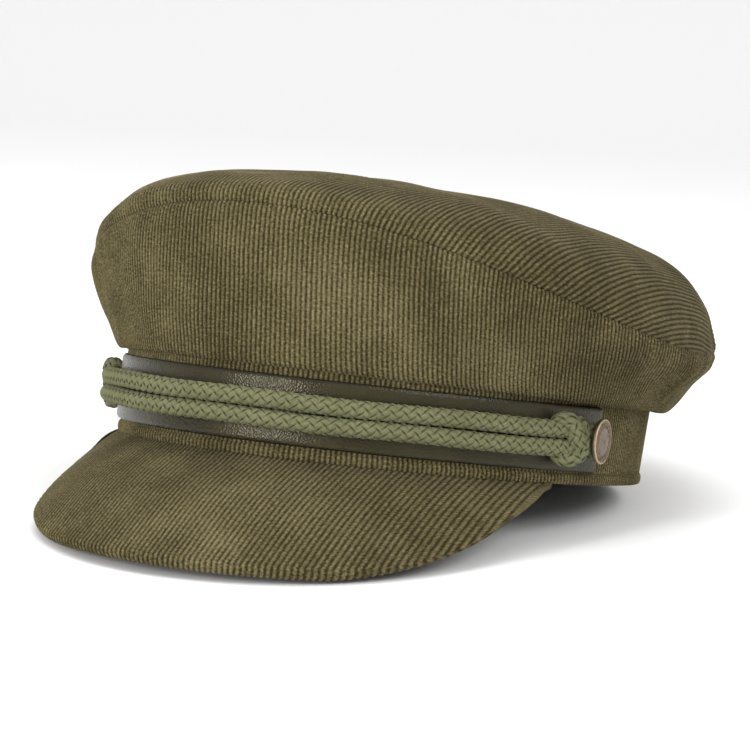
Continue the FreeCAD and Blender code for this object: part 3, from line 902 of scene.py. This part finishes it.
# ---- cords ---------------------------------------------------------------------------
def spline(points, spacing, closed=False):
    """Catmull-Rom curve through points, resampled evenly."""
    points = np.asarray(points, float)
    if closed:
        held = np.concatenate([points[-1:], points, points[:2]])
    else:
        held = np.concatenate([2 * points[:1] - points[1:2], points, 2 * points[-1:] - points[-2:-1]])
    pieces = []
    u = np.linspace(0, 1, 24, endpoint=False)[:, None]
    for a, b, c, d in zip(held, held[1:], held[2:], held[3:]):
        pieces.append(0.5 * (2 * b + (c - a) * u + (2 * a - 5 * b + 4 * c - d) * u ** 2
                             + (3 * b - a - 3 * c + d) * u ** 3))
    curve = np.concatenate(pieces + ([] if closed else [points[-1:]]))
    if closed:
        curve = np.concatenate([curve, curve[:1]])
    run = np.concatenate([[0], np.cumsum(np.linalg.norm(np.diff(curve, axis=0), axis=-1))])
    count = max(int(ceil(run[-1] / spacing)), 4)
    at = np.linspace(0, run[-1], count + 1)
    return np.stack([np.interp(at, run, curve[:, i]) for i in range(3)], -1), run[-1]


def frames_along(path, first_normal):
    """Tangent, normal and side of a path, without twist."""
    tangent = unit(np.gradient(path, axis=0))
    normal = np.zeros_like(path)
    n = first_normal - tangent[0] * np.dot(first_normal, tangent[0])
    for i, direction in enumerate(tangent):
        n = unit(n - direction * np.dot(n, direction))
        normal[i] = n
    return tangent, normal, np.cross(tangent, normal)


BRAID_LAY = 1.35              # length of a strand's turn, in cord circumferences
STRAND_COVER = 0.74           # width of a strand, as a share of its place round the cord
STRAND_HEIGHT = 0.30          # height of a strand, as a share of the cord's radius
STRAND_SUNK = 0.72            # how deep a strand sits, as a share of its height
STRAND_LIFT = 0.42            # rise and fall of the plait, as a share of the strand's height
CORE_SHARE = 0.72             # radius of the core, as a share of the cord's
CORE_SIDES = 10


def strand_profile(width, height, corners):
    a = np.arange(corners) * 2 * pi / corners
    return np.cos(a) * width / 2, np.sin(a) * height / 2


def braid(name, path, length, first_normal, radius, body, node, carriers=6, closed=False):
    """Plaited cord along a path: carriers strands wound each way, over one and under one."""
    turns = length / (2 * pi * radius * BRAID_LAY)
    if closed:
        turns = max(round(turns), 1)
    _, normal, side = frames_along(path, first_normal)
    share = np.linspace(0, 1, len(path))
    strand_width = 2 * pi * radius / carriers * STRAND_COVER
    strand_height = STRAND_HEIGHT * radius
    middle = radius - strand_height * STRAND_SUNK
    flat, tall = strand_profile(strand_width, strand_height, 8)
    grids = []
    for way in (1, -1):
        for index in range(carriers):
            wound = 2 * pi * turns * share
            angle = way * wound + 2 * pi * index / carriers
            lift = way * np.cos(carriers * wound) * strand_height * STRAND_LIFT
            out = normal * np.cos(angle)[:, None] + side * np.sin(angle)[:, None]
            centre = path + out * (middle + lift)[:, None]
            along = unit(np.gradient(centre, axis=0))
            across = unit(np.cross(along, out))
            grids.append(centre[:, None] + across[:, None] * flat[None, :, None]
                         + np.cross(across, along)[:, None] * tall[None, :, None])
    around = np.arange(CORE_SIDES) * 2 * pi / CORE_SIDES
    core = (path[:, None] + (radius * CORE_SHARE) * (normal[:, None] * np.cos(around)[None, :, None]
                                                      + side[:, None] * np.sin(around)[None, :, None]))
    join_tubes(name, grids + [core], length, body, node)


def join_tubes(name, grids, length, body, node):
    """One mesh of several tubes with capped ends."""
    vertices = []
    loops = []
    totals = []
    uvs = []
    base = 0
    for grid in grids:
        cols, rows = grid.shape[:2]
        c = np.arange(cols - 1)[:, None]
        r = np.arange(rows)[None, :]
        r1 = (r + 1) % rows
        quads = np.stack(np.broadcast_arrays(c * rows + r, c * rows + r1, (c + 1) * rows + r1,
                                             (c + 1) * rows + r), -1)
        along = np.linspace(0, length / 2.0, cols)
        u = np.broadcast_to(np.arange(rows)[None, :] / rows, (cols - 1, rows))
        u1 = u + 1 / rows
        v0 = np.broadcast_to(along[:-1, None], (cols - 1, rows))
        v1 = np.broadcast_to(along[1:, None], (cols - 1, rows))
        uv = np.stack([np.stack([u, v0], -1), np.stack([u1, v0], -1), np.stack([u1, v1], -1),
                       np.stack([u, v1], -1)], 2)
        loops += [quads.reshape(-1) + base, np.arange(rows)[::-1] + base,
                  (cols - 1) * rows + np.arange(rows) + base]
        totals += [np.full((cols - 1) * rows, 4), [rows], [rows]]
        uvs += [uv.reshape(-1, 2), np.zeros((rows, 2)), np.zeros((rows, 2))]
        vertices.append(grid.reshape(-1, 3))
        base += cols * rows
    obj = make_object(name, np.concatenate(vertices), np.concatenate(loops), np.concatenate(totals),
                      np.concatenate(uvs), BRAID, body)
    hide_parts(node)


# the two turns of a knot: (ahead of the stud, rise from the cords' middle, off the band)
KNOT_UNDER = [(16.0, 3.0, 4.0), (16.4, 5.4, 4.6), (14.5, 5.8, 7.0), (12.3, 2.5, 7.7), (10.0, -1.8, 7.1),
              (8.8, -3.8, 4.8), (9.3, -3.5, 4.0)]
KNOT_OVER = [(15.0, -3.4, 4.0), (14.6, -5.8, 4.3), (12.0, -6.3, 6.3), (8.5, -4.8, 6.9), (6.3, -1.8, 6.0),
             (5.4, 1.5, 5.0), (5.6, 4.0, 4.3), (6.8, 4.8, 4.1), (8.5, 3.5, 4.0)]
KNOT_CORD = 0.97              # the cord is drawn a little tighter in the knot
CORD_STOP = 11.0              # where the cords run into the knot, ahead of the stud
LOOP_OFFSET = 5.3             # turn of cord round the stud's shank
LOOP_RADIUS = 4.4
LOOP_WIRE = 1.75
CORD_STEP = 0.40              # spacing of points along the cords, and along knots and loops
KNOT_STEP = 0.42


def beside_stud(side, ahead, rise, offset):
    """Point ahead of a stud, above the cords' middle and off the band."""
    t = side * (radians(STUD_ANGLE) - ahead / HEAD_HALF_LENGTH)
    return band_point(np.array(t), CORD_MIDDLE + rise, offset)


def cords():
    """Two long cords, and at each end the knot's two turns and the loop round the shank."""
    end = radians(STUD_ANGLE) - CORD_STOP / HEAD_HALF_LENGTH
    t = np.linspace(-end, end, 40)
    for name, node, sign in (("cord_top", "cord_upper", 1), ("cord_bottom", "cord_lower", -1)):
        wander = 0.18 * np.sin(9 * t + sign) * sign
        line = band_point(t, CORD_MIDDLE + sign * CORD_SPACING / 2 + wander, CORD_OFFSET)
        path, length = spline(line, CORD_STEP)
        braid(name, path, length, UP, CORD_RADIUS, "cords", node)
    for name, side in (("left", 1), ("right", -1)):
        for turn, points in (("knot_lift_", KNOT_UNDER), ("knot_wrap_", KNOT_OVER)):
            path, length = spline([beside_stud(side, *p) for p in points], KNOT_STEP)
            braid(turn + name, path, length, UP, CORD_RADIUS * KNOT_CORD, "cords", "cord_knot_" + name)
        a = np.arange(24) * 2 * pi / 24
        centre = stud_foot(side) + np.array([side * LOOP_OFFSET, 0, 0])
        circle = centre + stack(0.0, LOOP_RADIUS * np.cos(a), LOOP_RADIUS * np.sin(a))
        path, length = spline(circle, KNOT_STEP, closed=True)
        braid("loop_braid_" + name, path, length, np.array([1.0, 0, 0]), LOOP_WIRE, "cords",
              "cord_loop_" + name, carriers=4, closed=True)


# ---- studs ---------------------------------------------------------------------------
SHANK_RADIUS = 1.95
TAIL_RADIUS = 2.55            # spread end of the shank, behind the band
TAIL_OFFSET = -4.4
LATHE_SIDES = 96
BEADS = 20                    # ring of beads on the stud's face
BEAD_RADIUS = 0.5
BEAD_FLATNESS = 0.75
BEAD_RING_INSET = 1.85
BEAD_RINGS = 5
BEAD_SIDES = 10


def lathe(name, profile, side, material, body):
    """Closed turned piece on the stud's axis from (radius, offset) pairs."""
    centre = stud_foot(side)
    a = np.arange(LATHE_SIDES) * 2 * pi / LATHE_SIDES
    rows = []
    for radius, offset in profile:
        radius = max(radius, 0.02)
        rows.append(centre + stack(side * offset, radius * np.cos(a), radius * np.sin(a) * side))
    grid = np.stack(rows, 1)
    phase = np.arange(LATHE_SIDES + 1) / LATHE_SIDES
    return tube(name, grid, phase, along_length(grid), True, material, body, flip=True)


def bead(centre, first):
    """Vertices and faces of one flattened bead, its vertices numbered from first."""
    vertices = []
    for j in range(1, BEAD_RINGS):
        b = pi * j / BEAD_RINGS
        for k in range(BEAD_SIDES):
            c = 2 * pi * k / BEAD_SIDES
            ball = np.array([BEAD_FLATNESS * cos(b), sin(b) * cos(c), sin(b) * sin(c)])
            vertices.append(centre + BEAD_RADIUS * ball)
    faces = []
    for j in range(BEAD_RINGS - 2):
        here = first + j * BEAD_SIDES
        above = here + BEAD_SIDES
        for k in range(BEAD_SIDES):
            k1 = (k + 1) % BEAD_SIDES
            faces.append((here + k, here + k1, above + k1, above + k))
    last = first + (BEAD_RINGS - 2) * BEAD_SIDES
    faces.append(tuple(first + k for k in range(BEAD_SIDES))[::-1])
    faces.append(tuple(last + k for k in range(BEAD_SIDES)))
    return vertices, faces


def bead_ring(name, side, face, body):
    """Small beads round the stud's face."""
    mesh = bpy.data.meshes.new("stud_beads_" + name)
    parts = add_object("stud_beads_" + name, mesh)
    ring_radius = STUD_HEAD_RADIUS - BEAD_RING_INSET
    vertices = []
    faces = []
    for i in range(BEADS):
        a = 2 * pi * i / BEADS
        centre = stud_foot(side) + np.array([side * (face - 0.3), ring_radius * cos(a),
                                             ring_radius * sin(a)])
        more_vertices, more_faces = bead(centre, len(vertices))
        vertices += more_vertices
        faces += more_faces
    mesh.from_pydata([tuple(p) for p in to_world(np.array(vertices))], [], faces)
    mesh.polygons.foreach_set("use_smooth", [True] * len(faces))
    mesh.materials.append(METAL)
    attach(parts, body)


def studs():
    """Turned studs: spread tail, shank, domed rim, groove and centre disc."""
    front = STUD_STANDOFF + 1.5
    head = STUD_HEAD_RADIUS
    profile = [(0.0, TAIL_OFFSET), (TAIL_RADIUS, TAIL_OFFSET), (TAIL_RADIUS, TAIL_OFFSET + 0.25),
               (SHANK_RADIUS, TAIL_OFFSET + 0.3), (SHANK_RADIUS, STUD_STANDOFF),
               (head - 0.5, STUD_STANDOFF), (head - 0.12, STUD_STANDOFF + 0.15),
               (head, STUD_STANDOFF + 0.5), (head, front - 0.25), (head - 0.12, front - 0.05),
               (head - 0.35, front + 0.05), (head - 0.75, front + 0.02), (head - 0.95, front - 0.2),
               (head - 1.1, front - 0.3), (head - 2.6, front - 0.3), (head - 2.8, front - 0.15),
               (head - 3.0, front), (head - 3.3, front + 0.03), (1.2, front + 0.03),
               (0.0, front + 0.03)]
    for name, side in (("left", 1), ("right", -1)):
        body = f"stud_{name}_body"
        obj = lathe("stud_turned_" + name, profile, side, METAL, body)
        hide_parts("stud_" + name)
        bead_ring(name, side, front, body)


# ---- pieces kept as they are ---------------------------------------------------------
KEPT = {
    "band_stiffener": (INTERFACING, "interfacing"),
    "crown_front_stay": (INTERFACING, "interfacing"),
    "crown_seam_tape": (TAPE, "cotton_tape"),
    "peak_binding": (TAPE, "cotton_tape"),
    "eyelet_left": (METAL, "antique_metal"),
    "eyelet_right": (METAL, "antique_metal"),
    "stud_washer_left": (METAL, "antique_metal"),
    "stud_washer_right": (METAL, "antique_metal"),
}


def dress_kept():
    """Give the CAD pieces that stay as they are their own materials."""
    for node, (material, slot) in KEPT.items():
        obj = frame["nodes"][node]
        obj.data.materials.clear()
        obj.data.materials.append(material)


# ---- studio --------------------------------------------------------------------------
CAMERA_TARGET = (0.9, -1.8, 44.1)
CAMERA_AZIMUTH = 25.28
CAMERA_ELEVATION = 8.27
CAMERA_ROLL = 2.87
CAMERA_DISTANCE = 928.0
CAMERA_LENS = 128.4
SKY_LOW = 0.55                # strength of the surroundings level with the cap, and overhead
SKY_HIGH = 1.08
AIM = (0, 0, 0.05)            # metres
# name, place (m), size (m), power (W)
LIGHTS = (("key", (-0.28, -1.36, 0.34), (0.22, 0.6), 14.5),
          ("fill", (1.30, -0.35, 1.00), (0.7, 0.7), 9.5),
          ("top", (-0.1, 0.0, 1.6), (1.0, 1.0), 7.0))
FLOOR_NEAR = -4.0             # metres, along the view
SWEEP_START = 2.2
SWEEP_RADIUS = 1.6
SWEEP_STEPS = 16
WALL_HEIGHT = 5.0
FLOOR_HALF_WIDTH = 5.0


def camera():
    """Camera that looks at the cap from its front left, a little from above."""
    azimuth = radians(CAMERA_AZIMUTH)
    elevation = radians(CAMERA_ELEVATION)
    roll = radians(CAMERA_ROLL)
    back = Vector((sin(azimuth) * cos(elevation), -cos(azimuth) * cos(elevation), sin(elevation)))
    level = Vector((cos(azimuth), sin(azimuth), 0))
    rise = back.cross(level)
    right = level * cos(roll) + rise * sin(roll)
    up = rise * cos(roll) - level * sin(roll)
    place = (Vector(CAMERA_TARGET) + back * CAMERA_DISTANCE) * MM
    data = bpy.data.cameras.new("camera")
    data.lens = CAMERA_LENS
    data.sensor_width = 36.0
    data.clip_start = 0.01
    data.clip_end = 50.0
    obj = add_object("camera", data)
    turn = Matrix((right, up, back)).transposed().to_4x4()
    obj.matrix_world = Matrix.Translation(place) @ turn
    bpy.context.scene.camera = obj


def area_light(name, place, size, power):
    data = bpy.data.lights.new(name, "AREA")
    data.shape = "RECTANGLE"
    data.size = size[0]
    data.size_y = size[1]
    data.energy = power
    obj = add_object(name, data)
    aim = Vector(AIM) - Vector(place)
    obj.rotation_euler = aim.to_track_quat("-Z", "Y").to_euler()
    obj.location = place


def backdrop():
    """Floor that sweeps up behind the cap, square to the camera."""
    across = Vector((cos(radians(CAMERA_AZIMUTH)), sin(radians(CAMERA_AZIMUTH)), 0))
    away = Vector((-across.y, across.x, 0))
    profile = [(FLOOR_NEAR, 0.0), (SWEEP_START, 0.0)]
    for step in range(1, SWEEP_STEPS + 1):
        a = pi / 2 * step / SWEEP_STEPS
        profile.append((SWEEP_START + SWEEP_RADIUS * sin(a), SWEEP_RADIUS * (1 - cos(a))))
    profile.append((SWEEP_START + SWEEP_RADIUS, WALL_HEIGHT))
    vertices = []
    for y, z in profile:
        for side in (-FLOOR_HALF_WIDTH, FLOOR_HALF_WIDTH):
            vertices.append(across * side + away * y + Vector((0, 0, z)))
    faces = [(2 * i, 2 * i + 1, 2 * i + 3, 2 * i + 2) for i in range(len(profile) - 1)]
    mesh = bpy.data.meshes.new("backdrop")
    mesh.from_pydata(vertices, [], faces)
    mesh.polygons.foreach_set("use_smooth", [True] * len(faces))
    paper = Nodes("paper")
    paper.surface(Base_Color=(0.92, 0.92, 0.92, 1), Roughness=0.95, Specular_IOR_Level=0.0)
    mesh.materials.append(paper.material)
    obj = add_object("backdrop", mesh)


def studio():
    """Pale floor, soft surroundings that are stronger overhead, and three area lights."""
    backdrop()
    world = bpy.data.worlds.new("studio")
    world.use_nodes = True
    background = world.node_tree.nodes["Background"]
    background.inputs["Color"].default_value = (1.0, 1.0, 1.0, 1.0)
    tree = world.node_tree
    place = tree.nodes.new("ShaderNodeTexCoord")
    parts = tree.nodes.new("ShaderNodeSeparateXYZ")
    ramp = tree.nodes.new("ShaderNodeMapRange")
    tree.links.new(place.outputs["Generated"], parts.inputs[0])
    tree.links.new(parts.outputs["Z"], ramp.inputs["Value"])
    tree.links.new(ramp.outputs[0], background.inputs["Strength"])
    ramp.inputs["From Min"].default_value = 0.0
    ramp.inputs["From Max"].default_value = 0.8
    ramp.inputs["To Min"].default_value = SKY_LOW
    ramp.inputs["To Max"].default_value = SKY_HIGH
    bpy.context.scene.world = world
    bpy.context.scene.view_settings.view_transform = "Standard"
    for light in LIGHTS:
        area_light(*light)


# ---- build ---------------------------------------------------------------------------
crown_side_panel("side_cloth_front", "crown_side_front", -SIDE_SEAM_ANGLE, SIDE_SEAM_ANGLE)
crown_side_panel("side_cloth_left", "crown_side_back_left", SIDE_SEAM_ANGLE, 179.95)
crown_side_panel("side_cloth_right", "crown_side_back_right", -179.95, -SIDE_SEAM_ANGLE)
crown_top_panel()
band_cloth()
band_turning()
strip()
peak_upper()
peak_lower()
peak_stiffening()
ring("sweatband_ribbon", "sweatband", "sweatband_cloth", SWEATBAND,
     np.linspace(SWEATBAND_HIGH, SWEATBAND_LOW, 15), SWEATBAND_OUT - 0.95, 0.8)
ring("sweatband_trim", "sweatband_tape", "cotton_tape", TAPE, np.linspace(6.8, 0.8, 7), -7.0, 0.35)
lining_wall()
lining_disc()
label()
cords()
studs()
dress_kept()
studio()
camera()
